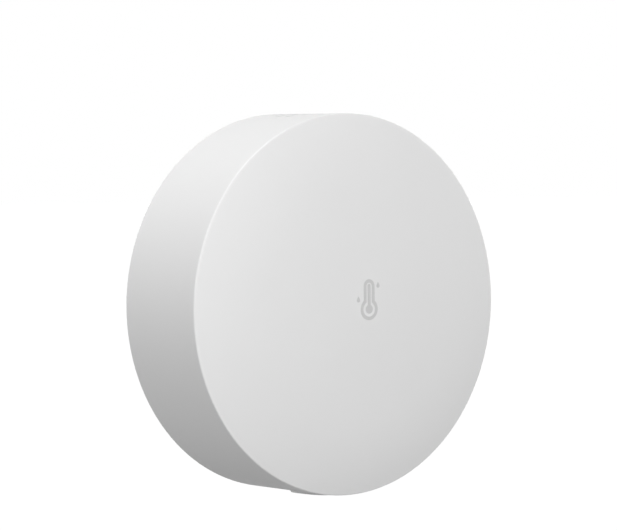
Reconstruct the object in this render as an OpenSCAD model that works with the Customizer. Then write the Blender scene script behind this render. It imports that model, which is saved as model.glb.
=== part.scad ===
// Round wall sensor for temperature and humidity, with two slim cells and a twist-off wall plate.
// The origin is the centre of the face that lies on the wall. X runs to the right seen from the front,
// Z runs up and the front faces -Y. The modules work in a bench frame, with z out of the wall and y up,
// and on_wall() turns each piece into place.

/* [Body] */
// Outer diameter of the drum
body_d = 60; // [54:1:80]
// Rise of the crowned middle of the front above its rolled edge
crown_h = 1.7; // [1:0.1:2.4]
// Width of the front's rolled edge
roll_w = 11; // [9:0.5:14]
// Drop of the front's rolled edge to the rim
roll_h = 3.5; // [2.6:0.1:6]
// Thickness of the shell's wall and front
shell_t = 2; // [1.6:0.1:2.4]
// Rounding of the front rim
rim_r = 0.3; // [0.2:0.1:1]
// Chamfer on the shell's back edge
back_chamfer = 0.3; // [0.1:0.1:0.6]
// Gap between the shell's back edge and the wall
wall_gap = 0.4; // [0.2:0.1:0.8]
// Room from the front of the board to the rim
front_room = 1.6; // [1.2:0.1:4]

/* [Vent] */
// Width of each vent slot
vent_w = 0.8; // [0.5:0.1:1.2]
// Length of the middle vent slots
vent_len = 11.3; // [9:0.1:13]
// Length by which the first and last slots are shorter
vent_short = 2.3; // [1:0.1:3]
// Number of vent slots
vent_count = 4; // [3:1:4]
// Spacing of the slots along the wall
vent_pitch = 2.6; // [2:0.1:2.8]
// Distance from the shell's back edge to the middle of the vent
vent_inset = 8.05; // [7.6:0.05:9]
// Thickness of the dust membrane behind the slots
membrane_t = 0.3; // [0.2:0.05:0.5]
// Width of the membrane past the outer slots
membrane_edge = 0.4; // [0.2:0.1:1]

/* [Icon] */
// Line width of the thermometer outline
icon_stroke = 0.53; // [0.4:0.01:0.6]
// Width of the thermometer's stem
icon_stem_w = 2.16; // [1.8:0.02:2.6]
// Diameter of the thermometer's bulb
icon_bulb_d = 3.4; // [3:0.1:4.2]
// Height of the top of the stem above the middle of the front
icon_top = 4.15; // [3.8:0.01:6]
// Distance of the middle of the bulb below the middle of the front
icon_drop = 0.51; // [0:0.01:2]
// Width of the filled column in the stem
column_w = 0.56; // [0.3:0.02:0.7]
// Diameter of the filled dot in the bulb
column_d = 1.4; // [1:0.1:1.7]
// Gap between the top of the column and the outline
column_gap = 0.2; // [0.1:0.05:0.6]
// Width of each drop
drop_w = 0.61; // [0.4:0.01:0.9]
// Height of each drop
drop_h = 0.92; // [0.7:0.01:1.4]
// Thickness of the printed ink
ink_t = 0.05; // [0.03:0.01:0.1]

/* [Button] */
// Diameter of the button cap
button_d = 8.4; // [6:0.2:9]
// Height of the cap above the drum's surface
button_proud = 0.33; // [0.2:0.01:0.6]
// Chamfer on the cap's outer edge
button_chamfer = 0.15; // [0.05:0.05:0.3]
// Travel of the button
button_travel = 0.3; // [0.2:0.05:0.5]
// Width of the cap's flange past the cap
flange_w = 1; // [0.6:0.1:1.2]
// Thickness of the cap's flange
flange_t = 0.9; // [0.6:0.1:1.2]
// Thickness of the flat seat inside the wall
seat_t = 0.6; // [0.5:0.1:0.8]
// Diameter of the stem that pushes the switch
stem_d = 2.8; // [2:0.1:3.2]
// Length of the stem from the flange to the switch
stem_len = 2.8; // [2:0.1:4]

/* [Wall plate] */
// Thickness of the wall plate
plate_t = 2.4; // [2.2:0.1:4]
// Diameter of the two wall screw holes
plate_hole_d = 4.2; // [3.5:0.1:4.5]
// Distance between the two wall screw holes
plate_hole_spacing = 36; // [34:0.5:40]
// Diameter of the countersink for a wall screw's head
plate_sink_d = 7.4; // [6:0.1:8]
// Width of the round groove in the plate's back
groove_w = 1.2; // [0.8:0.1:2]
// Depth of the round groove in the plate's back
groove_h = 0.6; // [0.3:0.1:1]
// Width of the rim outside the round groove
groove_edge = 1.8; // [1.4:0.1:2]
// Length of each adhesive pad
pad_l = 30; // [20:1:34]
// Width of each adhesive pad
pad_w = 9; // [6:0.5:10]
// Thickness of each adhesive pad
pad_t = 0.8; // [0.5:0.1:1]
// Distance of each adhesive pad from the middle of the plate
pad_offset = 13; // [11:0.5:15]
// Reach of the shell's locking tabs into the mouth
tab_w = 1.6; // [1.2:0.1:2]
// Thickness of the shell's locking tabs
tab_t = 0.7; // [0.5:0.1:0.9]
// Angle that each tab and each lug spans
lug_deg = 20; // [15:1:22]
// Angle of the stop beside each lug
stop_deg = 2.5; // [2:0.5:4]
// Angle of play between a locking tab and its stop
stop_play = 1; // [0.5:0.5:2]

/* [Rear cover] */
// Thickness of the rear cover's flange
cover_t = 1.6; // [1.2:0.1:2.4]
// Wall thickness of the battery bay
bay_wall = 1.2; // [1:0.1:1.4]
// Wall left at the corners of the battery bay
corner_wall = 0.79; // [0.7:0.01:2]
// Thickness of each rib that cradles the cells
cradle_t = 1.5; // [1:0.1:3]
// Distance between the two cradle ribs
cradle_spacing = 24; // [16:1:32]
// Radius of the board posts
post_r = 2.2; // [2:0.1:2.6]
// Gap between a screw boss and the board post beside it
post_gap = 3.3; // [1:0.1:4]

/* [Cells] */
// Diameter of each cell
cell_d = 10.5; // [9.8:0.1:10.6]
// Diameter of the positive terminal
nub_d = 3.8; // [3.4:0.1:4.4]
// Height of the positive terminal
nub_h = 1; // [0.8:0.1:1.4]
// Distance between the two cells' sides
cell_gap = 0.7; // [0.3:0.1:0.8]
// Play of the cells at the sides of the bay
cell_play = 0.25; // [0.15:0.05:0.4]
// Depth of the cells below the cover's back face
cell_inset = 0.6; // [0.2:0.1:1]
// Thickness of the contact plates
contact_t = 0.4; // [0.3:0.05:0.5]
// Width of each contact plate
contact_w = 8.4; // [7:0.1:9]
// Height of each contact plate
contact_h = 7.6; // [6:0.1:8]
// Height of the dimple that meets a positive terminal
dimple_h = 0.45; // [0.3:0.05:0.6]
// Width of the solder tails
tail_w = 1.6; // [1:0.1:2.4]
// Working length of each contact spring
spring_len = 2.8; // [2.4:0.1:3]
// Wire diameter of the contact springs
wire_d = 0.5; // [0.4:0.05:0.6]
// Outer diameter of a spring at its plate
spring_base_d = 6.5; // [6:0.1:7]
// Outer diameter of a spring at its cell
spring_tip_d = 4.1; // [3.6:0.1:4.4]
// Turns of each spring
spring_turns = 2.5; // [2:0.5:2.5]

/* [Board] */
// Thickness of the main board
board_t = 1.2; // [0.8:0.1:1.6]
// Gap between the board's edge and the shell's wall
board_edge = 2.2; // [2:0.1:3]
// Side of the square sensor chip
chip_w = 2.5; // [2:0.1:3]
// Height of the sensor chip
chip_h = 0.9; // [0.7:0.1:1.2]
// Distance of the sensor chip from the board's edge
chip_inset = 3.4; // [3.2:0.1:4]
// Width of the slots that keep heat away from the sensor chip
slot_w = 1; // [0.6:0.1:1.4]
// Thickness of the foam ring round the sensor chip
gasket_t = 1.8; // [1.2:0.1:3]
// Width of the foam ring
gasket_w = 1.4; // [1:0.1:1.6]
// Length of the radio board
radio_l = 22; // [20:0.5:23]
// Width of the radio board
radio_w = 15; // [13:0.5:16]
// Thickness of the radio board
radio_t = 0.8; // [0.6:0.1:1]
// Length of the radio's shield can
can_l = 11; // [9:0.5:12]
// Height of the radio's shield can
can_h = 1.4; // [1.2:0.1:1.6]
// Sheet thickness of the shield can
can_t = 0.2; // [0.15:0.05:0.3]
// Width of the antenna's copper track
track_w = 0.8; // [0.5:0.1:1]
// Thickness of the antenna's copper track
track_t = 0.1; // [0.05:0.05:0.2]
// Distance from the board's edge to the radio board
radio_inset = 5; // [4:0.5:6]
// Spacing of the half-round pads along the radio board
pad_pitch = 1.1; // [0.9:0.1:1.3]
// Side of the radio's chip
radio_chip_w = 5; // [4:0.5:6]
// Height of the radio's chip
radio_chip_h = 0.8; // [0.6:0.1:1]
// Length of the crystal
crystal_l = 2.5; // [2:0.1:3.2]
// Height of the crystal
crystal_h = 0.6; // [0.5:0.1:0.9]
// Side of the largest chip on the main board
logic_w = 5; // [4:0.5:6]
// Height of the chips on the main board
logic_h = 1.2; // [0.8:0.1:1.4]
// Length of each capacitor
capacitor_l = 2; // [1.6:0.1:2.4]
// Height of each capacitor
capacitor_h = 0.8; // [0.5:0.1:1]
// Gap between neighbouring parts on the board
part_gap = 1; // [0.6:0.1:1.2]
// Length of the indicator light
led_l = 2; // [1.6:0.1:2.4]
// Height of the indicator light
led_h = 0.9; // [0.7:0.1:1.2]

/* [Switch] */
// Side of the square switch body
switch_w = 6; // [5:0.1:6.4]
// Depth of the switch body
switch_depth = 3.4; // [3.2:0.1:5]
// Height of the switch's axis above the board
switch_axis = 5.2; // [4.6:0.1:5.6]
// Diameter of the switch plunger
plunger_d = 3.4; // [3:0.1:3.6]
// Distance that the plunger stands out of the switch
plunger_reach = 1; // [0.8:0.1:1.4]
// Width of the plunger's collar past the plunger
collar_w = 0.6; // [0.4:0.1:0.8]
// Thickness of the plunger's collar
collar_t = 0.8; // [0.6:0.1:1]
// Sheet thickness of the switch's metal cover
bracket_t = 0.25; // [0.2:0.05:0.4]

/* [Fasteners] */
// Radius of the shell's screw bosses
boss_r = 2.6; // [2.4:0.1:2.8]
// Radius of the pins that locate the board
pin_r = 0.8; // [0.6:0.1:1]
// Thread diameter of the cover screws
screw_d = 2; // [1.8:0.1:2.2]
// Head diameter of the cover screws
head_d = 3.8; // [3.4:0.1:4]
// Head height of the cover screws
head_h = 1.4; // [1:0.1:1.6]
// Length of the cover screws below the head
screw_len = 7.5; // [6:0.5:8]
// Length of the board screws below the head
board_screw_len = 5; // [4:0.5:6]

/* [Clearances] */
// Gap between pieces that turn past each other
run_gap = 0.3; // [0.2:0.05:0.4]
// Radial clearance of a sliding fit
slide_fit = 0.08; // [0.05:0.01:0.1]
// Gap between pieces that rest on each other
seat_gap = 0.05; // [0.03:0.01:0.1]
// Clearance round a screw's thread
thread_fit = 0.03; // [0.02:0.01:0.05]
// Clearance of a piece in its slot or hole
fit_gap = 0.2; // [0.1:0.05:0.3]
// Clearance between inner pieces that don't meet
room = 0.4; // [0.3:0.1:0.6]

/* [Hidden] */
$fn = 96;
eps = 0.5; // overrun of cuts and overlap of joined solids
lug_angles = [90, 210, 330];
right_drop = [1.81, 3.24];
left_drop = [-2.14, 1.06];

// Radii of the drum
outer_r = body_d / 2;
inner_r = outer_r - shell_t;
cover_r = inner_r - room;
tab_r = inner_r - tab_w;
plate_r = tab_r - run_gap;
lug_r = inner_r - room;
board_r = inner_r - board_edge;

// Levels from the wall to the front
lug_z = wall_gap + tab_t + run_gap;
cover_z = plate_t + room;
flange_z = cover_z + cover_t;
cell_z = cover_z + cell_inset + cell_d / 2;
bay_z = cell_z + cell_d / 2 + fit_gap / 2;
bay_top = bay_z + bay_wall;
board_z = bay_top + room;
board_front = board_z + board_t;
rim_z = board_front + front_room;
roll_z = rim_z + roll_h;
apex_z = roll_z + crown_h;

// Vent
vent_z = wall_gap + vent_inset;
membrane_r = inner_r - seat_gap - membrane_t;
membrane_half = (vent_count - 1) / 2 * vent_pitch + vent_w / 2 + membrane_edge;
membrane_deg = asin((vent_len / 2 + membrane_edge) / membrane_r);

// Arcs of the front: the crowned middle, and the rolled edge that carries on from it to the rim
crown_in = outer_r - roll_w;
crown_r = (crown_in * crown_in + crown_h * crown_h) / (2 * crown_h);
crown_z = apex_z - crown_r;
crown_deg = asin(crown_in / crown_r);
crown_out = [sin(crown_deg), cos(crown_deg)];
roll_r = sqrt(roll_w * roll_w + roll_h * roll_h) / (2 * sin(atan2(roll_h, roll_w) - crown_deg));
roll_centre = [crown_in, roll_z] - roll_r * crown_out;

// Battery bay
cell_y = (cell_d + cell_gap) / 2;
bay_w = 2 * (cell_y + cell_d / 2 + cell_play);
bay_l = 2 * sqrt(pow(cover_r - corner_wall, 2) - pow(bay_w / 2, 2));
cell_len = bay_l - spring_len - dimple_h - seat_gap - 2 * (contact_t + fit_gap / 2);
contact_x = bay_l / 2 - fit_gap / 2;
contact_z = cell_z - contact_h / 2;
tail_top = board_front + room;

// Screw bosses and board posts
boss_y = bay_w / 2 + bay_wall + boss_r + 1.5 * room;
boss_ring = inner_r - boss_r - shell_t;
boss_x = sqrt(boss_ring * boss_ring - boss_y * boss_y);
tower_r = boss_r + 2 * room;
head_z = cover_z + head_h + 4 * room;
boss_z = head_z + screw_d;
post_x = boss_x - boss_r - post_r - post_gap;
post_y = bay_w / 2 + bay_wall + post_r - room;

// Button and switch, as distances from the drum's axis
button_z = board_z - switch_axis;
button_r = button_d / 2;
flange_r = button_r + flange_w;
seat_y = inner_r - seat_t;
flange_y = seat_y - seat_gap;
stem_top = flange_y - flange_t;
plunger_tip = stem_top - stem_len;
switch_y = plunger_tip - plunger_reach;
collar_r = plunger_d / 2 + collar_w;
well_depth = collar_t + button_travel + 2 * fit_gap;

// Parts on the board
chip_y = board_r - chip_inset;
gasket_in = chip_w + 4 * fit_gap;
gasket_out = gasket_in + 2 * gasket_w;
slot_x = gasket_out / 2 + slot_w;
radio_x = radio_inset - board_r;
radio_front = board_front + radio_t;
can_x = radio_x + radio_l - can_l - room;
can_w = radio_w - 2 * room;
chips_x = radio_x + radio_l + part_gap + logic_w / 2;

// Turns a bench piece so that its front faces -Y
module on_wall() rotate([90, 0, 0]) children();

// Round post from one level to another
module post(r, from, to) translate([0, 0, from]) cylinder(r = r, h = to - from);

// Box given by its centre in x and y, its sides and its levels
module block(centre, sides, from, to) {
  translate([centre[0] - sides[0] / 2, centre[1] - sides[1] / 2, from])
    cube([sides[0], sides[1], to - from]);
}

// Bar along x with round ends, from one level to another
module bar(length, width, from, to) {
  straight = length - width;
  block([0, 0], [straight, width], from, to);
  for (x = [-straight / 2, straight / 2])
    translate([x, 0, 0]) post(width / 2, from, to);
}

// Part of a ring about the drum's axis
module ring_part(r_in, r_out, from, to, start, end) {
  rotate([0, 0, start])
    translate([0, 0, from])
      rotate_extrude(angle = end - start)
        translate([r_in, 0])
          square([r_out - r_in, to - from]);
}

// Local z runs from the drum's axis down through the button
module through_button() translate([0, 0, button_z]) rotate([90, 0, 0]) children();

// Copies at the four screw bosses
module at_bosses() {
  for (x = [-boss_x, boss_x], y = [-boss_y, boss_y])
    translate([x, y, 0]) children();
}

// Copies at the two board posts that take screws, or at the two that carry pins
module at_posts(screws) {
  for (side = [-1, 1])
    translate([side * post_x, side * post_y * (screws ? 1 : -1), 0]) children();
}

// Half section under the crowned middle of the front, drawn in by inset
module crown_section(inset, from) {
  edge = [crown_in, roll_z] + eps * crown_out;
  intersection() {
    translate([0, crown_z]) circle(r = crown_r - inset, $fn = 720);
    polygon([
      [0, from], [crown_in - (roll_z - from) * tan(crown_deg), from],
      edge, [edge[0], apex_z + eps], [0, apex_z + eps]
    ]);
  }
}

// Circle of the rolled edge, drawn in by inset
module roll_circle(inset) translate(roll_centre) circle(r = roll_r - inset, $fn = 720);

// Outer half section of the drum: wall, rounded rim, rolled edge and crown
module drum_section() {
  side = outer_r - rim_r;
  centre = [side, roll_centre[1] + sqrt(pow(roll_r - rim_r, 2) - pow(side - roll_centre[0], 2))];
  towards = (centre - roll_centre) / (roll_r - rim_r);
  beyond = centre + 2 * rim_r * towards;
  crown_section(0, wall_gap);
  intersection() {
    roll_circle(0);
    polygon([
      [0, wall_gap], [outer_r - back_chamfer, wall_gap], [outer_r, wall_gap + back_chamfer],
      [outer_r, centre[1]], centre, beyond, [beyond[0], apex_z + eps], [0, apex_z + eps]
    ]);
  }
  intersection() {
    translate(centre) circle(r = rim_r);
    polygon([centre, centre + [2 * rim_r, 0], centre + [2 * rim_r, 2 * rim_r], beyond]);
  }
}

// Half section of the drum drawn in by inset under its front and by side at its wall
module inner_section(inset, side) {
  crown_section(inset, wall_gap - eps);
  intersection() {
    roll_circle(inset);
    translate([0, wall_gap - eps]) square([outer_r - side, apex_z]);
  }
}

// Slots across the top of the wall, the first and the last shorter
module vent_slots() {
  for (i = [0 : vent_count - 1]) {
    shorter = i == 0 || i == vent_count - 1 ? vent_short : 0;
    translate([0, 0, vent_z + (i - (vent_count - 1) / 2) * vent_pitch])
      rotate([-90, 0, 0])
        bar(vent_len - shorter, vent_w, inner_r - shell_t, outer_r + eps);
  }
}

module front_shell() {
  color("whitesmoke")
    difference() {
      union() {
        rotate_extrude($fn = 180)
          difference() {
            drum_section();
            inner_section(shell_t, shell_t);
          }
        intersection() {
          at_bosses() post(boss_r, boss_z, apex_z);
          rotate_extrude($fn = 180) inner_section(shell_t / 2, shell_t / 2);
        }
        through_button() post(flange_r + room, seat_y, inner_r + shell_t / 2);
        for (a = lug_angles)
          ring_part(tab_r, inner_r + eps, wall_gap, wall_gap + tab_t, a - lug_deg / 2, a + lug_deg / 2);
      }
      vent_slots();
      through_button() post(button_r + slide_fit, seat_y - eps, outer_r + eps);
      at_bosses() post(screw_d / 2 + thread_fit, boss_z - eps, head_z + screw_len + room);
    }
}

// Thermometer outline, drawn in by inset on all sides
module thermometer(inset) {
  stem_r = icon_stem_w / 2;
  translate([0, -icon_drop]) circle(d = icon_bulb_d - 2 * inset);
  translate([0, icon_top - stem_r]) circle(r = stem_r - inset);
  translate([inset - stem_r, -icon_drop]) square([2 * (stem_r - inset), icon_top - stem_r + icon_drop]);
}

// Filled column and dot inside the thermometer
module thermometer_column() {
  top = icon_top - icon_stroke - column_gap - column_w / 2;
  translate([0, -icon_drop]) circle(d = column_d);
  translate([0, top]) circle(d = column_w);
  translate([-column_w / 2, -icon_drop]) square([column_w, top + icon_drop]);
}

// Water drop that points up, about the middle of its height
module drop(place) {
  r = drop_w / 2;
  tip = drop_h - r;
  lean = acos(r / tip);
  translate(place + [0, r - drop_h / 2]) {
    circle(r = r);
    polygon([[0, 0], [r * sin(lean), r * cos(lean)], [0, tip], [-r * sin(lean), r * cos(lean)]]);
  }
}

module icon_print() {
  color("silver")
    intersection() {
      linear_extrude(height = apex_z + eps) {
        difference() {
          thermometer(0);
          thermometer(icon_stroke);
        }
        thermometer_column();
        drop(right_drop);
        drop(left_drop);
      }
      translate([0, 0, crown_z])
        rotate([90, 0, 0])
          difference() {
            sphere(r = crown_r + ink_t, $fn = 720);
            sphere(r = crown_r, $fn = 720);
          }
    }
}

module vent_membrane() {
  color("dimgray")
    ring_part(
      membrane_r, membrane_r + membrane_t,
      vent_z - membrane_half, vent_z + membrane_half,
      90 - membrane_deg, 90 + membrane_deg
    );
}

module button_cap() {
  cap_top = outer_r + button_proud;
  edge = sqrt(cap_top * cap_top - button_r * button_r) - button_chamfer;
  height = cap_top + eps - stem_top;
  foot_r = button_r + edge - stem_top;
  color("whitesmoke")
    through_button() {
      intersection() {
        post(button_r, stem_top, stem_top + height);
        translate([0, 0, stem_top]) cylinder(r1 = foot_r, r2 = foot_r - height, h = height);
        rotate([90, 0, 0]) cylinder(r = cap_top, h = 4 * button_r, center = true, $fn = 360);
      }
      post(flange_r, stem_top, flange_y);
      post(stem_d / 2, plunger_tip + seat_gap, stem_top + flange_t / 2);
    }
}

// Slots for the two solder tails at the right-hand end of the bay
module tail_slots(from, to) {
  for (side = [-1, 1])
    block(
      [contact_x - contact_t / 2, side * cell_y],
      [contact_t + 2 * fit_gap, tail_w + 2 * fit_gap],
      from, to
    );
}

// Reliefs in the cover's edge: a hollow below the membrane and a flat above the button's seat
module edge_reliefs() {
  reach = membrane_deg + asin(room / membrane_r);
  ring_part(membrane_r - room, inner_r, cover_z - eps, flange_z + eps, 90 - reach, 90 + reach);
  block(
    [0, -cover_r],
    [2 * (flange_r + 2 * room), 2 * (cover_r - seat_y + room)],
    cover_z - eps, flange_z + eps
  );
}

module rear_cover() {
  color("gainsboro") {
    difference() {
      union() {
        post(cover_r, cover_z, flange_z);
        intersection() {
          block([0, 0], [bay_l + 2 * bay_wall, bay_w + 2 * bay_wall], cover_z, bay_top);
          post(cover_r, cover_z, bay_top);
        }
        at_bosses() post(tower_r, cover_z, boss_z);
        at_posts(true) post(post_r, cover_z, board_z);
        at_posts(false) post(post_r, cover_z, board_z);
        at_posts(false) post(pin_r, board_z - eps, board_front + room);
      }
      block([0, 0], [bay_l, bay_w], cover_z - eps, bay_z);
      at_bosses() post(screw_d / 2 + fit_gap, cover_z - eps, boss_z + eps);
      at_bosses() post(head_d / 2 + fit_gap, cover_z - eps, head_z);
      at_posts(true) post(screw_d / 2 + thread_fit, board_front - board_screw_len - room, board_z + eps);
      tail_slots(bay_z - eps, bay_top + eps);
      edge_reliefs();
    }
    for (side = [-1, 1])
      difference() {
        block(
          [side * cradle_spacing / 2, 0],
          [cradle_t, bay_w + bay_wall],
          cell_z + cell_d / 4, bay_top - bay_wall / 2
        );
        for (y = [-cell_y, cell_y])
          translate([0, y, cell_z])
            rotate([0, 90, 0])
              cylinder(d = cell_d + fit_gap, h = bay_l, center = true);
      }
  }
}

// Both adhesive pads, drawn out by margin
module pads(margin, from, to) {
  for (y = [-pad_offset, pad_offset])
    translate([0, y, 0]) bar(pad_l + 2 * margin, pad_w + 2 * margin, from, to);
}

module wall_plate() {
  sink_h = (plate_sink_d - plate_hole_d) / 2;
  color("gainsboro")
    difference() {
      union() {
        post(plate_r, 0, plate_t);
        for (a = lug_angles) {
          start = a - lug_deg / 2;
          ring_part(plate_r - eps, lug_r, lug_z, plate_t, start, start + lug_deg);
          ring_part(plate_r - eps, lug_r, 0, plate_t, start - stop_play - stop_deg, start - stop_play);
        }
      }
      for (x = [-plate_hole_spacing, plate_hole_spacing])
        translate([x / 2, 0, 0]) {
          post(plate_hole_d / 2, -eps, plate_t + eps);
          translate([0, 0, plate_t - sink_h])
            cylinder(d1 = plate_hole_d, d2 = plate_sink_d + 2 * eps, h = sink_h + eps);
        }
      pads(fit_gap / 2, -eps, pad_t);
      ring_part(plate_r - groove_edge - groove_w, plate_r - groove_edge, -eps, groove_h, 0, 360);
    }
}

module adhesive_pads() {
  color("gray") pads(0, 0, pad_t);
}

// Slots on both sides of the sensor chip, open to the board's edge, with a bridge left below the chip
module heat_slots() {
  low = chip_y - gasket_out / 2 - slot_w;
  for (side = [-1, 1]) {
    block([side * slot_x, (low + board_r) / 2], [slot_w, board_r - low], board_z - eps, board_front + eps);
    block(
      [side * (slot_x - gasket_w), low + slot_w / 2],
      [2 * gasket_w, slot_w], board_z - eps, board_front + eps
    );
  }
}

module main_board() {
  notch_h = board_r - stem_top + button_travel + fit_gap;
  color("seagreen")
    difference() {
      post(board_r, board_z, board_front);
      at_bosses() post(boss_r + room, board_z - eps, board_front + eps);
      at_posts(true) post(screw_d / 2 + fit_gap, board_z - eps, board_front + eps);
      at_posts(false) post(pin_r + fit_gap / 2, board_z - eps, board_front + eps);
      tail_slots(board_z - eps, board_front + eps);
      heat_slots();
      block([0, -board_r], [2 * (flange_r + room), 2 * (notch_h + room)], board_z - eps, board_front + eps);
    }
}

module sensor_chip() {
  color("black")
    difference() {
      block([0, chip_y], [chip_w, chip_w], board_z - chip_h, board_z);
      translate([0, chip_y, 0]) post(chip_w / 5, board_z - chip_h - eps, board_z - chip_h / 2);
    }
}

module sensor_gasket() {
  color("darkslategray")
    difference() {
      block([0, chip_y], [gasket_out, gasket_out], board_z - gasket_t, board_z);
      block([0, chip_y], [gasket_in, gasket_in], board_z - gasket_t - eps, board_z + eps);
    }
}

module radio_board() {
  color("darkgreen")
    difference() {
      block([radio_x + radio_l / 2, 0], [radio_l, radio_w], board_front, radio_front);
      for (side = [-1, 1], x = [can_x + pad_pitch : pad_pitch : radio_x + radio_l - pad_pitch])
        translate([x, side * radio_w / 2, 0])
          post(pad_pitch / 3, board_front - eps, radio_front + eps);
    }
}

module radio_shield() {
  centre = [can_x + can_l / 2, 0];
  color("silver")
    difference() {
      block(centre, [can_l, can_w], radio_front, radio_front + can_h);
      block(centre, [can_l - 2 * can_t, can_w - 2 * can_t], radio_front - eps, radio_front + can_h - can_t);
    }
}

module radio_chip() {
  color("black")
    block(
      [can_x + can_l / 2, part_gap + radio_chip_w / 2 - can_w / 6],
      [radio_chip_w, radio_chip_w], radio_front, radio_front + radio_chip_h
    );
}

module crystal() {
  color("silver")
    block(
      [can_x + can_l / 2, -can_w / 6 - crystal_l / 2],
      [crystal_l, 0.8 * crystal_l], radio_front, radio_front + crystal_h
    );
}

// Folded copper track on the free end of the radio board
module antenna() {
  folds = 4;
  top = radio_front + track_t;
  reach = can_w - 2 * track_w;
  step = (can_x - radio_x - track_w) / (folds + 1);
  color("goldenrod")
    for (i = [0 : folds]) {
      x = radio_x + track_w + i * step;
      block([x, 0], [track_w, reach], radio_front, top);
      if (i < folds)
        block(
          [x + step / 2, (i % 2 == 0 ? 1 : -1) * (reach - track_w) / 2],
          [step + track_w, track_w], radio_front, top
        );
    }
}

// Part on the front of the board, given by its place and its sides
module board_part(x, y, l, w, h) block([x, y], [l, w], board_front, board_front + h);

module board_chips() {
  row_y = logic_w + part_gap + capacitor_l;
  color("dimgray") {
    board_part(chips_x, (logic_w + part_gap) / 2, logic_w, logic_w, logic_h);
    board_part(chips_x, -(logic_w + part_gap) / 2, 0.8 * logic_w, 0.8 * logic_w, logic_h);
    board_part(chips_x + logic_w + part_gap, 0, 0.7 * logic_w, 0.6 * logic_w, logic_h);
    for (i = [0 : 4])
      board_part(
        chips_x + i * (0.6 * capacitor_l + part_gap), row_y,
        0.6 * capacitor_l, capacitor_l, capacitor_h
      );
    for (i = [0 : 3])
      board_part(
        chips_x + i * (capacitor_l + part_gap / 2), -row_y,
        0.8 * capacitor_l, 0.4 * capacitor_l, capacitor_h
      );
  }
}

module status_led() {
  led_y = radio_w / 2 + part_gap + led_l;
  color("ivory") {
    board_part(can_x, led_y, led_l, 0.6 * led_l, led_h / 2);
    translate([can_x, led_y, 0]) post(0.25 * led_l, board_front + led_h / 3, board_front + led_h);
  }
}

// Square switch body with a stepped well for the plunger
module switch_body() {
  color("black")
    through_button()
      difference() {
        block([0, 0], [switch_w, switch_w], switch_y - switch_depth, switch_y);
        post(collar_r + slide_fit, switch_y - well_depth, switch_y + eps);
      }
}

// Folded metal cover with a hole for the plunger and two legs up to the board
module switch_cover() {
  out_w = switch_w + 2 * (bracket_t + seat_gap);
  front = switch_y + seat_gap;
  color("silver")
    through_button() {
      difference() {
        block([0, 0], [out_w, switch_w], front, front + bracket_t);
        post(plunger_d / 2 + slide_fit, front - eps, front + bracket_t + eps);
      }
      for (side = [-1, 1])
        block(
          [side * (out_w - bracket_t) / 2, (switch_axis - switch_w / 2) / 2],
          [bracket_t, switch_axis + switch_w / 2],
          switch_y - switch_depth, front + bracket_t
        );
    }
}

module switch_plunger() {
  color("gray")
    through_button() {
      post(collar_r, switch_y - seat_gap - collar_t, switch_y - seat_gap);
      post(plunger_d / 2, switch_y - seat_gap - collar_t / 2, plunger_tip);
    }
}

// Cell along x with its positive end towards +x, from its flat end at x = 0
module cell() {
  can = cell_len - nub_h;
  step = 1.2;
  rotate([0, 90, 0]) {
    post(cell_d / 2 - step / 2, 0, can);
    post(cell_d / 2, step / 2, can - step / 2);
    post(nub_d / 2, can - step, cell_len);
  }
}

module upper_cell() {
  color("dimgray")
    translate([-contact_x + contact_t + spring_len, cell_y, cell_z]) cell();
}

module lower_cell() {
  color("dimgray")
    translate([contact_x - contact_t - spring_len, -cell_y, cell_z]) rotate([0, 0, 180]) cell();
}

// Contact plate against the right-hand end of the bay
module contact_plate(side) {
  block(
    [contact_x - contact_t / 2, side * cell_y],
    [contact_t, contact_w],
    contact_z, contact_z + contact_h
  );
}

// Round dimple that meets a positive terminal, on the right-hand end of the bay
module dimple(side) {
  r = (nub_d * nub_d / 16 + dimple_h * dimple_h) / (2 * dimple_h);
  intersection() {
    translate([contact_x - contact_t - dimple_h + r, side * cell_y, cell_z]) sphere(r = r);
    block([contact_x - contact_t, side * cell_y], [2 * dimple_h, nub_d], contact_z, contact_z + contact_h);
  }
}

// Tail from a contact plate through the bay's floor and the board
module solder_tail(side) {
  block(
    [contact_x - contact_t / 2, side * cell_y],
    [contact_t, tail_w],
    contact_z + contact_h - eps, tail_top
  );
}

module bridge_contact() {
  color("silver")
    rotate([0, 0, 180]) {
      contact_plate(1);
      contact_plate(-1);
      contact_plate(0);
      dimple(1);
    }
}

module positive_contact() {
  color("silver") {
    contact_plate(1);
    dimple(1);
    solder_tail(1);
  }
}

module negative_contact() {
  color("silver") {
    contact_plate(-1);
    solder_tail(-1);
  }
}

// Point on a spring's centre line, t from 0 at its plate to 1 at its cell
function spring_point(t) =
  let (
    r = (spring_base_d - wire_d) / 2 * (1 - t) + (spring_tip_d - wire_d) / 2 * t,
    a = 360 * spring_turns * t
  )
  [r * cos(a), r * sin(a), wire_d / 2 + (spring_len - wire_d) * t];

// Ring of points round the wire at t
function spring_ring(t, sides) =
  let (a = 360 * spring_turns * t, out = [cos(a), sin(a), 0], up = [0, 0, 1])
  [for (k = [0 : sides - 1])
    spring_point(t) + wire_d / 2 * (cos(360 * k / sides) * out + sin(360 * k / sides) * up)];

// Conical spring standing on its plate, with z towards its cell
module contact_spring() {
  sides = 8;
  rings = 14 * spring_turns;
  points = [for (i = [0 : rings]) each spring_ring(i / rings, sides)];
  walls = [for (i = [0 : rings - 1], k = [0 : sides - 1])
    let (n = (k + 1) % sides, a = i * sides, b = a + sides)
    each [[a + k, b + k, b + n], [a + k, b + n, a + n]]];
  starts = [for (k = [1 : sides - 2]) [0, k, k + 1]];
  last = rings * sides;
  ends = [for (k = [1 : sides - 2]) [last, last + k + 1, last + k]];
  polyhedron(points = points, faces = concat(walls, starts, ends));
}

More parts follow.
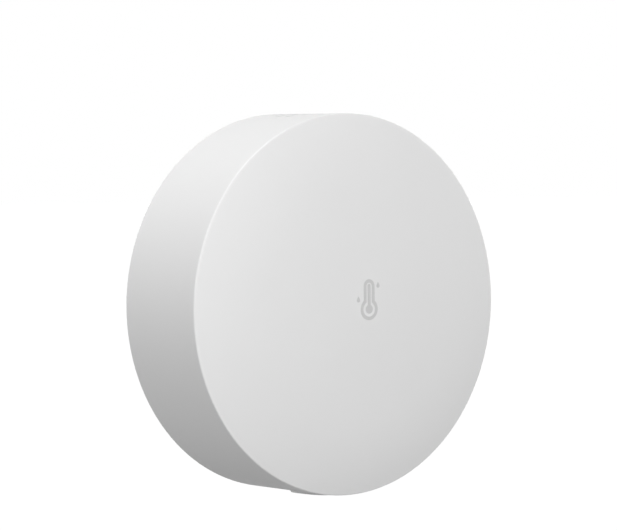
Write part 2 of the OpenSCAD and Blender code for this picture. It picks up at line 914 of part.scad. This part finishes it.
module contact_springs() {
  color("silver")
    for (side = [-1, 1])
      translate([side * (contact_t - contact_x), side * cell_y, cell_z])
        rotate([0, side * 90, 0])
          contact_spring();
}

// Screw with its head's flat face at z = 0, its thread towards +z and a cross recess
module screw(length) {
  difference() {
    union() {
      post(head_d / 2, -head_h, 0);
      post(screw_d / 2, -head_h / 2, length);
    }
    for (turn = [0, 90])
      rotate([0, 0, turn]) block([0, 0], [0.6 * head_d, 0.16 * head_d], -head_h - eps, -head_h / 2);
  }
}

module cover_screws() {
  color("gray") at_bosses() translate([0, 0, head_z]) screw(screw_len);
}

module board_screws() {
  color("gray")
    at_posts(true)
      translate([0, 0, board_front]) mirror([0, 0, 1]) screw(board_screw_len);
}

on_wall() front_shell();
on_wall() icon_print();
on_wall() vent_membrane();
on_wall() button_cap();
on_wall() rear_cover();
on_wall() wall_plate();
on_wall() adhesive_pads();
on_wall() main_board();
on_wall() sensor_chip();
on_wall() sensor_gasket();
on_wall() radio_board();
on_wall() radio_shield();
on_wall() radio_chip();
on_wall() antenna();
on_wall() crystal();
on_wall() board_chips();
on_wall() status_led();
on_wall() switch_body();
on_wall() switch_cover();
on_wall() switch_plunger();
on_wall() upper_cell();
on_wall() lower_cell();
on_wall() bridge_contact();
on_wall() positive_contact();
on_wall() negative_contact();
on_wall() contact_springs();
on_wall() cover_screws();
on_wall() board_screws();
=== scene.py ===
import math

import bmesh
import bpy
from mathutils import Matrix, Vector


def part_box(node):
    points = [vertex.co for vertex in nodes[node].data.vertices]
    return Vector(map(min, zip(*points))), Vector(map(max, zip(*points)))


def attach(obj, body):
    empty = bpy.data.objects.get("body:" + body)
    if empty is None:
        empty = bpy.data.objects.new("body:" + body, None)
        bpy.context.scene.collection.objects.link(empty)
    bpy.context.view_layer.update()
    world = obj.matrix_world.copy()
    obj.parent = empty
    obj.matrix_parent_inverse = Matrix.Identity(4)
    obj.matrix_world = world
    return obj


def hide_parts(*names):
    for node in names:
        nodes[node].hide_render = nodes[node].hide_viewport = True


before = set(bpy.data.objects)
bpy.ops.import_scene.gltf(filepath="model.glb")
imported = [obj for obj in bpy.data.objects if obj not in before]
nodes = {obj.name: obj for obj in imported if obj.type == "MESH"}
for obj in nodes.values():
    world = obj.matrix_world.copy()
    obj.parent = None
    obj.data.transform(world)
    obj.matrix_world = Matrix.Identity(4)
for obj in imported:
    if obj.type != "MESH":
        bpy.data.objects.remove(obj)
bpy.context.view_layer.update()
MM = 0.001

# Camera: the photograph's frame, its focal length in pixels and the way that it looks at the drum
IMAGE_W, IMAGE_H = 617, 530
FOCAL_PX = 3230
SENSOR_W = 36
CLIP_START = 0.01
VIEW_AZIMUTH = math.radians(-38.34)
VIEW_PITCH = math.radians(2.07)
RIM_CENTRE = Vector((0, -18.4, 0)) * MM
RIM_CENTRE_PX = (348.1, 304.6)
RIM_DEPTH = 506.7 * MM

# Stage: the floor lies well below the part, which hangs on a wall
FLOOR_Z = -0.6
FLOOR_HALF = 30
FLOOR_GREY = 0.35
FLOOR_GLOW = 0.72

# Lamps: name, strength, azimuth and elevation in degrees, all as soft as a large studio panel
LAMPS = (
    ("key", 0.705, -12, 24),
    ("back", 0.49, -163, 64),
    ("left", 0.34, -88, 16),
    ("right", 0.22, 90, 14),
)
LAMP_SPREAD = math.radians(40)

# White plastics: their optics, greys and grain, and the marks that moulding leaves in all of them
PLASTIC_IOR = 1.49
PLASTIC_SPECULAR = 0.25
SHELL_GREY = 0.84
COVER_GREY = 0.8
SHELL_GRAIN = 0.2 * MM
BUTTON_GRAIN = 0.14 * MM
COVER_GRAIN = 0.3 * MM
MOULD_ROUGH = 0.65
BUTTON_ROUGH = 0.6
GLOSS_SWING = 0.05
GLOSS_PATCH = 1.2 * MM
FLOW_MARK = 14 * MM
FLOW_TONE = (0.985, 1.01)
RIPPLE = 1.5 * MM
GRAIN_RELIEF = 0.004 * MM

# Rubbed rim, painted paler as a highlight: the circle that it follows, how far from there it ends and is
# full, its roughness and the painted highlight's grey
RUB_AND_HIGHLIGHT_RADIUS = 29.85 * MM
RUB_AND_HIGHLIGHT_Y = RIM_CENTRE.y + 0.05 * MM
RUB_AND_HIGHLIGHT_END = 0.35 * MM
RUB_AND_HIGHLIGHT_FULL = 0.2 * MM
RUBBED_ROUGH = 0.3
# Paler than the shell grey: a painted highlight along the rim
RIM_PAINTED_HIGHLIGHT_GREY = 0.85

# Other finishes: optics, relief of a smooth surface, values that a noise mostly lies between, and colours
RESIN_IOR = 1.5
FIBRE_IOR = 1.45
FINE_RELIEF = 0.002 * MM
NOISE_LOW = 0.3
NOISE_HIGH = 0.7
BOARD_GREEN = (0.02, 0.14, 0.06)
MODULE_GREEN = (0.012, 0.09, 0.04)
BLACK_EPOXY = (0.03, 0.03, 0.032)
BLACK_NYLON = (0.025, 0.025, 0.026)
GREY_NYLON = (0.25, 0.25, 0.25)
LAMP_RESIN = (0.88, 0.85, 0.7)
TIN = (0.74, 0.73, 0.71)
GILT = (0.85, 0.58, 0.28)
NICKEL = (0.72, 0.7, 0.66)
ZINC = (0.62, 0.62, 0.62)
STEEL = (0.66, 0.65, 0.62)
SLEEVE = (0.035, 0.036, 0.04)
COPPER = (0.62, 0.3, 0.14)
PAPER_DARK = (0.74, 0.73, 0.70)
PAPER_PALE = (0.8, 0.79, 0.76)

# Cells: shares of the length, from the flat end, where the jacket and its copper band begin, where the
# band ends and where the bare positive end begins
JACKET_START = 0.016
BAND_START = 0.72
BAND_END = 0.955
BARE_START = 0.965

# Adhesive pads: width, paper liner, and the wavy slit that splits the liner
PAD_W = 9 * MM
# Pad foam greys: painted shade in the cell hollows, then the foam's own grey
PAD_SHADE_AND_FOAM_GREYS = (0.25, 0.34)
LINER_T = 0.1 * MM
LINER_INSET = 0.15 * MM
SLIT_GAP = 0.25 * MM
SLIT_SWAY = 1.3 * MM
ARC_STEPS = 24
# Side of the pads' foam: shares of its height, and how far the side is drawn in there
FOAM_SIDE = ((0, 0.12 * MM), (0.15, 0.02 * MM), (0.5, 0.08 * MM), (0.85, 0.02 * MM), (1, 0.12 * MM))

# Foam ring round the sensor chip: width of the ring, rounding of its corners and shape of its section
GASKET_W = 1.4 * MM
# Gasket foam greys: painted shade in the cell hollows, then the foam's own grey
GASKET_SHADE_AND_FOAM_GREYS = (0.03, 0.07)
GASKET_CORNER = 1.1 * MM
GASKET_CORNER_STEPS = 8
GASKET_SIDES = 20
GASKET_SQUARENESS = 0.6

# Contact springs: wire, radius of the first and the last turn, working length and turns
WIRE_D = 0.5 * MM
WIRE_ROUNDING = 3
SPRING_BASE_R = 3 * MM
SPRING_TIP_R = 1.8 * MM
SPRING_LEN = 2.8 * MM
SPRING_TURNS = 2.5
SPRING_STEPS = 90


def direction(azimuth, elevation):
    """Unit vector from the part towards a place given by its azimuth and elevation in radians."""
    level = math.cos(elevation)
    return Vector((math.sin(azimuth) * level, -math.cos(azimuth) * level, math.sin(elevation)))


def make_camera():
    ahead = -direction(VIEW_AZIMUTH, VIEW_PITCH)
    right = Vector((math.cos(VIEW_AZIMUTH), math.sin(VIEW_AZIMUTH), 0))
    up = right.cross(ahead)
    across = (RIM_CENTRE_PX[0] - IMAGE_W / 2) / FOCAL_PX * RIM_DEPTH
    down = (RIM_CENTRE_PX[1] - IMAGE_H / 2) / FOCAL_PX * RIM_DEPTH
    data = bpy.data.cameras.new("camera")
    data.sensor_fit = "HORIZONTAL"
    data.sensor_width = SENSOR_W
    data.lens = FOCAL_PX / IMAGE_W * SENSOR_W
    data.clip_start = CLIP_START
    camera = bpy.data.objects.new("camera", data)
    camera.location = RIM_CENTRE - ahead * RIM_DEPTH - right * across + up * down
    camera.rotation_euler = Matrix((right, up, -ahead)).transposed().to_euler()
    bpy.context.scene.collection.objects.link(camera)
    bpy.context.scene.camera = camera


def seen_directly(tree):
    """Factor that is 1 for camera, glossy and transmission rays, so that these see the white studio."""
    path = tree.nodes.new("ShaderNodeLightPath")
    seen = path.outputs["Is Camera Ray"]
    for ray in ("Is Glossy Ray", "Is Transmission Ray"):
        either = tree.nodes.new("ShaderNodeMath")
        either.operation = "MAXIMUM"
        tree.links.new(seen, either.inputs[0])
        tree.links.new(path.outputs[ray], either.inputs[1])
        seen = either.outputs[0]
    return seen


def make_world():
    """White all round where it is seen, and no light of its own on the part."""
    world = bpy.data.worlds.new("studio")
    world.use_nodes = True
    tree = world.node_tree
    white = tree.nodes["Background"]
    white.inputs["Color"].default_value = (1, 1, 1, 1)
    tree.links.new(seen_directly(tree), white.inputs["Strength"])
    bpy.context.scene.world = world


def make_floor():
    mesh = bpy.data.meshes.new("floor")
    signs = ((-1, -1), (1, -1), (1, 1), (-1, 1))
    corners = [(x * FLOOR_HALF, y * FLOOR_HALF, FLOOR_Z) for x, y in signs]
    mesh.from_pydata(corners, [], [(0, 1, 2, 3)])
    floor = bpy.data.objects.new("floor", mesh)
    bpy.context.scene.collection.objects.link(floor)
    material = bpy.data.materials.new("pale_floor")
    material.use_nodes = True
    tree = material.node_tree
    tree.nodes.remove(tree.nodes["Principled BSDF"])
    matt = tree.nodes.new("ShaderNodeBsdfDiffuse")
    matt.inputs["Color"].default_value = (FLOOR_GREY, FLOOR_GREY, FLOOR_GREY, 1)
    glow = tree.nodes.new("ShaderNodeEmission")
    reach = tree.nodes.new("ShaderNodeMath")
    reach.operation = "MULTIPLY"
    reach.inputs[1].default_value = FLOOR_GLOW
    total = tree.nodes.new("ShaderNodeAddShader")
    tree.links.new(seen_directly(tree), reach.inputs[0])
    tree.links.new(reach.outputs[0], glow.inputs["Strength"])
    tree.links.new(matt.outputs[0], total.inputs[0])
    tree.links.new(glow.outputs[0], total.inputs[1])
    tree.links.new(total.outputs[0], tree.nodes["Material Output"].inputs["Surface"])
    mesh.materials.append(material)


def make_lamps():
    for name, strength, azimuth, elevation in LAMPS:
        data = bpy.data.lights.new(name, "SUN")
        data.energy = strength * math.pi
        data.angle = LAMP_SPREAD
        lamp = bpy.data.objects.new(name, data)
        away = direction(math.radians(azimuth), math.radians(elevation))
        lamp.rotation_euler = away.to_track_quat("Z", "Y").to_euler()
        bpy.context.scene.collection.objects.link(lamp)


class Surface:
    """A material's nodes, with short calls for what the finishes share. Sizes are in metres."""

    def __init__(self, name, **values):
        self.material = bpy.data.materials.new(name)
        self.material.use_nodes = True
        self.tree = self.material.node_tree
        self.shader = self.tree.nodes["Principled BSDF"]
        self.place = self.tree.nodes.new("ShaderNodeTexCoord").outputs["Object"]
        for socket, value in values.items():
            self.socket(socket).default_value = value

    def socket(self, name):
        """The shader's input with this name, which is given in lower case with underscores."""
        return self.shader.inputs[name.replace("_", " ").title().replace("Ior", "IOR")]

    def add(self, kind, links, **settings):
        """New node with its inputs linked or set by name or number."""
        node = self.tree.nodes.new(kind)
        for name, value in settings.items():
            setattr(node, name, value)
        for socket, value in links.items():
            if isinstance(value, bpy.types.NodeSocket):
                self.tree.links.new(value, node.inputs[socket])
            else:
                node.inputs[socket].default_value = value
        return node

    def noise(self, size, detail, scale=None):
        """Noise, made shorter along an axis by a scale over 1, and longer by one under 1."""
        place = self.place
        if scale:
            place = self.add("ShaderNodeMapping", {"Vector": place, "Scale": scale}).outputs[0]
        links = {"Vector": place, "Scale": 1 / size, "Detail": detail}
        return self.add("ShaderNodeTexNoise", links).outputs[0]

    def cells(self, size):
        links = {"Vector": self.place, "Scale": 1 / size}
        return self.add("ShaderNodeTexVoronoi", links).outputs["Distance"]

    def level(self, factor, low, high):
        """Factor from 0 to 1 turned into a value from low to high."""
        return self.add("ShaderNodeMapRange", {0: factor, 3: low, 4: high}).outputs[0]

    def math(self, operation, a, b):
        return self.add("ShaderNodeMath", {0: a, 1: b}, operation=operation).outputs[0]

    def mix(self, factor, a, b):
        """Value that goes from a to b as the factor goes from 0 to 1."""
        return self.add("ShaderNodeMix", {0: factor, 2: a, 3: b}).outputs[0]

    def span(self, a, b):
        """Length of the line across the sides a and b, which stand square to each other."""
        sides = self.add("ShaderNodeCombineXYZ", {0: a, 1: b}).outputs[0]
        return self.add("ShaderNodeVectorMath", {0: sides}, operation="LENGTH").outputs["Value"]

    def near_ring(self, radius, y, far, near):
        """Factor that rises from 0 at the distance far to 1 at near from a circle round the Y axis."""
        axes = self.add("ShaderNodeSeparateXYZ", {0: self.place}).outputs
        out = self.math("SUBTRACT", self.span(axes[0], axes[2]), radius)
        along = self.math("SUBTRACT", axes[1], y)
        return self.add("ShaderNodeMapRange", {0: self.span(out, along), 1: far, 2: near}).outputs[0]

    def colours(self, factor, *stops):
        """Colour ramp through (position, grey or colour) stops."""
        node = self.add("ShaderNodeValToRGB", {0: factor})
        ramp = node.color_ramp
        while len(ramp.elements) < len(stops):
            ramp.elements.new(1)
        for element, (position, colour) in zip(ramp.elements, stops):
            element.position = position
            element.color = (*colour, 1) if isinstance(colour, tuple) else (colour, colour, colour, 1)
        return node.outputs[0]

    def mottle(self, noise, dark, pale):
        """Colour that wanders with a noise."""
        return self.colours(noise, (NOISE_LOW, dark), (NOISE_HIGH, pale))

    def relief(self, *layers):
        """Bump from (height, depth) layers, from the coarse one to the fine one."""
        normal = None
        for height, depth in layers:
            links = {"Height": height, "Distance": depth, "Strength": 1}
            if normal:
                links["Normal"] = normal
            normal = self.add("ShaderNodeBump", links).outputs[0]
        self.tree.links.new(normal, self.shader.inputs["Normal"])

    def wire(self, **outputs):
        for name, output in outputs.items():
            self.tree.links.new(output, self.socket(name))


def moulded_plastic(name, grey, grain, rough, rubbed_and_highlit=False):
    """White plastic from a spark-eroded mould: even grain, faint flow marks and maybe a rubbed rim with a
    painted highlight.
    """
    made = Surface(name, ior=PLASTIC_IOR, specular_ior_level=PLASTIC_SPECULAR)
    flow = made.noise(FLOW_MARK, detail=3)
    patches = made.noise(GLOSS_PATCH, detail=4)
    gloss = made.level(patches, rough - GLOSS_SWING, rough + GLOSS_SWING)
    tone = made.level(flow, FLOW_TONE[0] * grey, FLOW_TONE[1] * grey)
    if rubbed_and_highlit:
        rub_and_highlight = made.near_ring(RUB_AND_HIGHLIGHT_RADIUS, RUB_AND_HIGHLIGHT_Y, RUB_AND_HIGHLIGHT_END, RUB_AND_HIGHLIGHT_FULL)
        gloss = made.mix(rub_and_highlight, gloss, RUBBED_ROUGH)
        # The rim's paler grey is a painted highlight; only its lower roughness comes from rubbing
        tone = made.mix(rub_and_highlight, tone, RIM_PAINTED_HIGHLIGHT_GREY)
    made.wire(base_color=tone, roughness=gloss)
    ripple = made.noise(RIPPLE, detail=2)
    made.relief((ripple, FINE_RELIEF), (made.noise(grain, detail=3), GRAIN_RELIEF))
    return made.material


def printed_ink():
    """Grey screen print with a slightly uneven body."""
    blotch = 0.3 * MM
    grain = 0.12 * MM
    made = Surface("printed_ink", ior=RESIN_IOR)
    body = made.noise(blotch, detail=4)
    made.wire(
        base_color=made.mottle(body, dark=0.625, pale=0.645),
        roughness=made.level(body, low=0.38, high=0.5),
    )
    made.relief((made.noise(grain, detail=3), FINE_RELIEF))
    return made.material


def woven_mesh():
    """Dark woven mesh, with its threads along and around the wall, and painted shade darkening the gaps
    between them.
    """
    # A wave repeats each pi / 10 of a scaled metre, so this scale sets a thread each 0.1 mm
    wave_scale = 3125
    thread_relief = 0.03 * MM
    made = Surface("woven_mesh", ior=FIBRE_IOR)
    links = {"Vector": made.place, "Scale": wave_scale}
    across = made.add("ShaderNodeTexWave", links, bands_direction="X").outputs[1]
    along = made.add("ShaderNodeTexWave", links, bands_direction="Y").outputs[1]
    weave = made.math("MAXIMUM", across, along)
    # The gaps between threads are painted nearly black as shade; the crests keep the threads' grey
    shaded_gap = (0.3, 0.01)
    crest = (0.8, 0.06)
    made.wire(
        base_color=made.colours(weave, shaded_gap, crest),
        roughness=made.level(weave, low=0.9, high=0.65),
    )
    made.relief((weave, thread_relief))
    return made.material


def plain_resin(name, colour, rough):
    """Moulded resin or nylon of one colour with a fine grain."""
    cloud = 2.5 * MM
    patch = 0.5 * MM
    grain = 0.15 * MM
    grain_relief = 0.003 * MM
    swing = 0.06
    shade = 0.92
    made = Surface(name, ior=RESIN_IOR)
    dark = tuple(shade * c for c in colour)
    made.wire(
        base_color=made.mottle(made.noise(cloud, detail=3), dark, colour),
        roughness=made.level(made.noise(patch, detail=3), rough - swing, rough + swing),
    )
    made.relief((made.noise(grain, detail=2), grain_relief))
    return made.material


def plated_metal(name, colour, rough, lines):
    """Plated sheet or wire: lines gives the scale that narrows its grain along each axis."""
    cloud = 3 * MM
    grain_size = 0.25 * MM
    shade = 0.86
    smoother = 0.08
    rougher = 0.1
    made = Surface(name, metallic=1)
    grain = made.noise(grain_size, detail=4, scale=lines)
    dark = tuple(shade * c for c in colour)
    made.wire(
        base_color=made.mottle(made.noise(cloud, detail=3), dark, colour),
        roughness=made.level(grain, rough - smoother, rough + rougher),
    )
    made.relief((grain, FINE_RELIEF))
    return made.material


def solder_mask(name, green):
    """Lacquered board: copper tracks show through the mask as paler lines."""
    pitch = 2.4 * MM
    track_share = 0.09
    track_relief = 0.02 * MM
    track_lift = 1.7
    track_edge = (0.2, 0.8)
    patch = 1 * MM
    grain = 0.3 * MM
    made = Surface(name, ior=1.52, coat_weight=0.3, coat_roughness=0.15)
    links = {"Vector": made.place, "Scale": 1 / pitch, "Mortar Size": track_share}
    tracks = made.add("ShaderNodeTexBrick", links).outputs[1]
    tint = tuple(track_lift * c for c in green)
    made.wire(
        base_color=made.colours(tracks, (track_edge[0], green), (track_edge[1], tint)),
        roughness=made.level(made.noise(patch, detail=3), low=0.32, high=0.44),
    )
    made.relief((tracks, track_relief), (made.noise(grain, detail=3), FINE_RELIEF))
    return made.material


def cell_jacket(name, node, positive):
    """Jacketed cell with bare plated ends. Its positive end points along +X where positive is 1."""
    patch = 0.8 * MM
    grain = 0.2 * MM
    made = Surface(name, ior=RESIN_IOR)
    low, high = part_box(node)
    start, end = (low.x, high.x) if positive > 0 else (high.x, low.x)
    x = made.add("ShaderNodeSeparateXYZ", {0: made.place}).outputs[0]
    share = made.add("ShaderNodeMapRange", {0: x, 1: start, 2: end}).outputs[0]
    bands = made.colours(
        share,
        (0, STEEL),
        (JACKET_START, SLEEVE),
        (BAND_START, COPPER),
        (BAND_END, SLEEVE),
        (BARE_START, STEEL),
    )
    bare = made.colours(share, (0, 1.0), (JACKET_START, 0.0), (BARE_START, 1.0))
    for output in (bands, bare):
        output.node.color_ramp.interpolation = "CONSTANT"
    made.wire(
        base_color=bands,
        metallic=bare,
        roughness=made.level(made.noise(patch, detail=4), low=0.26, high=0.4),
    )
    lengthways = (0.1, 1, 1)
    made.relief((made.noise(grain, detail=2, scale=lengthways), FINE_RELIEF))
    return made.material


def cut_foam(name, dark, pale):
    """Closed-cell foam, cut so that its cells are open at the surface, with painted shade darkening the
    cells' hollows.
    """
    cell = 0.22 * MM
    cell_relief = 0.05 * MM
    shaded_hollow = 0.1
    edge = 0.6
    made = Surface(name, ior=1.4)
    cells = made.cells(cell)
    made.wire(
        # dark is painted shade in the cell hollows, pale is the foam's own grey at the cell rims
        base_color=made.colours(cells, (shaded_hollow, dark), (edge, pale)),
        roughness=made.level(cells, low=0.95, high=0.8),
    )
    made.relief((cells, cell_relief))
    return made.material


def release_paper():
    """Waxed paper: long soft fibres and a low sheen."""
    fibre_size = 0.6 * MM
    fibre_relief = 0.008 * MM
    made = Surface("release_paper", ior=FIBRE_IOR, sheen_weight=0.15)
    lengthways = (0.25, 1, 1)
    fibre = made.noise(fibre_size, detail=5, scale=lengthways)
    made.wire(
        base_color=made.mottle(fibre, PAPER_DARK, PAPER_PALE),
        roughness=made.level(fibre, low=0.42, high=0.58),
    )
    made.relief((fibre, fibre_relief))
    return made.material


def dress(material, *names):
    """Gives CAD nodes their finish."""
    for name in names:
        for slot in nodes[name].material_slots:
            slot.material = material


def make_piece(name, points, faces, material, smooth=True):
    """Mesh object with its faces turned outwards."""
    mesh = bpy.data.meshes.new(name)
    mesh.from_pydata(points, [], faces)
    shape = bmesh.new()
    shape.from_mesh(mesh)
    bmesh.ops.recalc_face_normals(shape, faces=shape.faces)
    shape.to_mesh(mesh)
    shape.free()
    mesh.polygons.foreach_set("use_smooth", [smooth] * len(mesh.polygons))
    mesh.materials.append(material)
    piece = bpy.data.objects.new(name, mesh)
    bpy.context.scene.collection.objects.link(piece)
    return piece


def install(piece, body, node):
    """Puts a piece on its body, in place of a CAD node."""
    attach(piece, body)
    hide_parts(node)


def ring_faces(ring, following):
    """Faces between two rings of point numbers."""
    count = len(ring)
    return [
        (ring[k], ring[(k + 1) % count], following[(k + 1) % count], following[k]) for k in range(count)
    ]


def loft(levels):
    """Points and faces of a closed form through outlines in x and z, each at its level in y."""
    count = len(levels[0][1])
    points = [(x, y, z) for y, outline in levels for x, z in outline]
    rings = [list(range(i * count, (i + 1) * count)) for i in range(len(levels))]
    faces = [face for a, b in zip(rings, rings[1:]) for face in ring_faces(a, b)]
    return points, faces + [rings[0], rings[-1]]


def stadium(length, width):
    """Outline of a bar with round ends, in x and z from its middle: its right end, then its left end."""
    radius = width / 2
    reach = length / 2 - radius
    turns = [math.pi * (i / ARC_STEPS - 0.5) for i in range(ARC_STEPS + 1)]
    right = [(reach + radius * math.cos(a), radius * math.sin(a)) for a in turns]
    return right + [(-x, -z) for x, z in right]


def liner_half(length, width):
    """Outline of the liner's left half: up along the wavy slit, then round the left end."""
    slit = []
    for i in range(ARC_STEPS + 1):
        share = i / ARC_STEPS
        sway = SLIT_SWAY * math.sin(2 * math.pi * share)
        slit.append((sway - SLIT_GAP / 2, width * (share - 0.5)))
    return slit + stadium(length, width)[ARC_STEPS + 1:]


def make_pads():
    """Two foam pads in the wall plate, each under a paper liner in two halves."""
    foam = cut_foam("pad_foam", *PAD_SHADE_AND_FOAM_GREYS)
    paper = release_paper()
    low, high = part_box("adhesive_pads")
    length = high.x - low.x
    foam_top = high.y - LINER_T
    core = loft([
        (low.y + share * (foam_top - low.y), stadium(length - 2 * inset, PAD_W - 2 * inset))
        for share, inset in FOAM_SIDE
    ])
    left = liner_half(length - 2 * LINER_INSET, PAD_W - 2 * LINER_INSET)
    right = [(-x, -z) for x, z in left]
    for place, z in (("lower", low.z + PAD_W / 2), ("upper", high.z - PAD_W / 2)):
        pad = make_piece(f"{place}_pad_foam", *core, foam, smooth=False)
        pad.location.z = z
        install(pad, "wall_mount", "adhesive_pads")
        for side, outline in (("left", left), ("right", right)):
            sheet = loft([(foam_top, outline), (high.y, outline)])
            liner = make_piece(f"{place}_pad_liner_{side}", *sheet, paper, smooth=False)
            liner.location.z = z
            install(liner, "wall_mount", "adhesive_pads")


def squared(value):
    """Cosine or sine pushed outwards, for a section between round and square."""
    return math.copysign(abs(value) ** GASKET_SQUARENESS, value)


def make_gasket():
    """Soft square ring of foam round the sensor chip."""
    low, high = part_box("sensor_gasket")
    corner = (high.x - low.x - GASKET_W) / 2 - GASKET_CORNER
    points = []
    rings = []
    for quarter in range(4):
        middle = math.pi / 2 * (quarter + 0.5)
        centre_x = math.copysign(corner, math.cos(middle))
        centre_z = math.copysign(corner, math.sin(middle))
        for i in range(GASKET_CORNER_STEPS + 1):
            around = math.pi / 2 * (quarter + i / GASKET_CORNER_STEPS)
            rings.append(list(range(len(points), len(points) + GASKET_SIDES)))
            for k in range(GASKET_SIDES):
                a = 2 * math.pi * k / GASKET_SIDES
                out = GASKET_CORNER + GASKET_W / 2 * squared(math.cos(a))
                rise = (high.y - low.y) / 2 * squared(math.sin(a))
                points.append((centre_x + out * math.cos(around), rise, centre_z + out * math.sin(around)))
    faces = [face for a, b in zip(rings, rings[1:] + rings[:1]) for face in ring_faces(a, b)]
    gasket = make_piece("chip_gasket", points, faces, cut_foam("gasket_foam", *GASKET_SHADE_AND_FOAM_GREYS))
    gasket.location = (low + high) / 2
    install(gasket, "sensor_body", "sensor_gasket")


def spring_path(base, towards):
    """Points from a spring's plate to its cell: the turns narrow, and the end turns lie flatter."""
    points = []
    for i in range(SPRING_STEPS + 1):
        share = i / SPRING_STEPS
        eased = share * share * (3 - 2 * share)
        radius = SPRING_BASE_R + (SPRING_TIP_R - SPRING_BASE_R) * share
        turn = 2 * math.pi * SPRING_TURNS * share
        along = WIRE_D / 2 + (SPRING_LEN - WIRE_D) * eased
        points.append(base + Vector((towards * along, radius * math.sin(turn), radius * math.cos(turn))))
    return points


def make_springs(material):
    """Conical springs on the two contacts that meet the cells' flat ends."""
    low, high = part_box("contact_springs")
    y = (low.y + high.y) / 2
    reach = SPRING_BASE_R + WIRE_D / 2
    for place, base, towards in (
        ("upper", Vector((low.x, y, high.z - reach)), 1),
        ("lower", Vector((high.x, y, low.z + reach)), -1),
    ):
        data = bpy.data.curves.new(f"{place}_spring", "CURVE")
        data.dimensions = "3D"
        data.bevel_depth = WIRE_D / 2
        data.bevel_resolution = WIRE_ROUNDING
        data.use_fill_caps = True
        path = spring_path(base, towards)
        spline = data.splines.new("POLY")
        spline.points.add(len(path) - 1)
        spline.points.foreach_set("co", [value for point in path for value in (*point, 1)])
        spline.use_smooth = True
        data.materials.append(material)
        spring = bpy.data.objects.new(f"{place}_spring", data)
        bpy.context.scene.collection.objects.link(spring)
        install(spring, "sensor_body", "contact_springs")


make_camera()
make_world()
make_floor()
make_lamps()
bpy.context.scene.view_settings.view_transform = "Standard"

dress(moulded_plastic("shell_plastic", SHELL_GREY, SHELL_GRAIN, MOULD_ROUGH, rubbed_and_highlit=True), "front_shell")
dress(moulded_plastic("button_plastic", SHELL_GREY, BUTTON_GRAIN, BUTTON_ROUGH), "button_cap")
dress(moulded_plastic("cover_plastic", COVER_GREY, COVER_GRAIN, MOULD_ROUGH), "rear_cover", "wall_plate")
dress(printed_ink(), "icon_print")
dress(woven_mesh(), "vent_membrane")
dress(solder_mask("main_board_mask", BOARD_GREEN), "main_board")
dress(solder_mask("radio_board_mask", MODULE_GREEN), "radio_board")
epoxy = plain_resin("black_epoxy", BLACK_EPOXY, rough=0.5)
dress(epoxy, "sensor_chip", "radio_chip", "board_chips")
dress(plain_resin("black_nylon", BLACK_NYLON, rough=0.42), "switch_body")
dress(plain_resin("grey_nylon", GREY_NYLON, rough=0.42), "switch_plunger")
dress(plain_resin("lamp_resin", LAMP_RESIN, rough=0.22), "status_led")
tin = plated_metal("tinned_sheet", TIN, rough=0.34, lines=(1, 1, 8))
dress(tin, "radio_shield", "crystal", "switch_cover")
dress(plated_metal("gilt_copper", GILT, rough=0.3, lines=(1, 1, 6)), "antenna")
nickel = plated_metal("nickel_plate", NICKEL, rough=0.28, lines=(1, 6, 1))
dress(nickel, "bridge_contact", "positive_contact", "negative_contact")
zinc = plated_metal("zinc_plate", ZINC, rough=0.36, lines=(6, 6, 1))
dress(zinc, "cover_screws", "board_screws")
dress(cell_jacket("upper_jacket", "upper_cell", positive=1), "upper_cell")
dress(cell_jacket("lower_jacket", "lower_cell", positive=-1), "lower_cell")
make_pads()
make_gasket()
make_springs(nickel)
